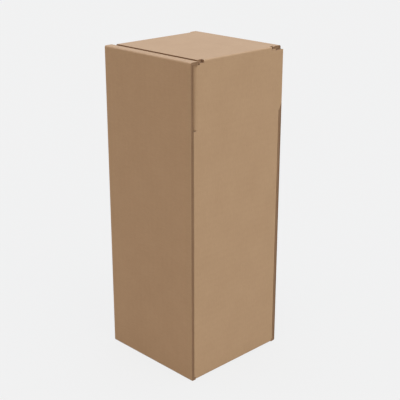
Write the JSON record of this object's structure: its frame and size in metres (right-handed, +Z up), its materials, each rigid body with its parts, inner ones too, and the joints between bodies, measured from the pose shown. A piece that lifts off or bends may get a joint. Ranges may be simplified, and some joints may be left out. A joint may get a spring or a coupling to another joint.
{
  "type": "roll-end tuck-top carton",
  "caption": "Tall closed carton folded from plain kraft corrugated board, with rolled-over side walls and a hinged tuck-in lid.",
  "frame": {"origin": "middle of the carton's underside, which stands on the surface", "axes": "+Z up along the longest side; +X out of the hinge wall; +Y out of a side wall"},
  "size_m": [0.113, 0.116, 0.3006],
  "materials": {
    "kraft_body": "matt kraft liner",
    "kraft_lid": "matt kraft liner"
  },
  "bodies": {
    "carton": {"carton_body": "kraft_body"},
    "lid": {"lid": "kraft_lid"}
  },
  "joints": [
    {"name": "lid_hinge", "type": "hinge", "parent": "carton", "child": "lid", "pos_m": [0.055, 0, 0.2991], "axis": [0, 1, 0], "range_deg": [0, 180]}
  ]
}
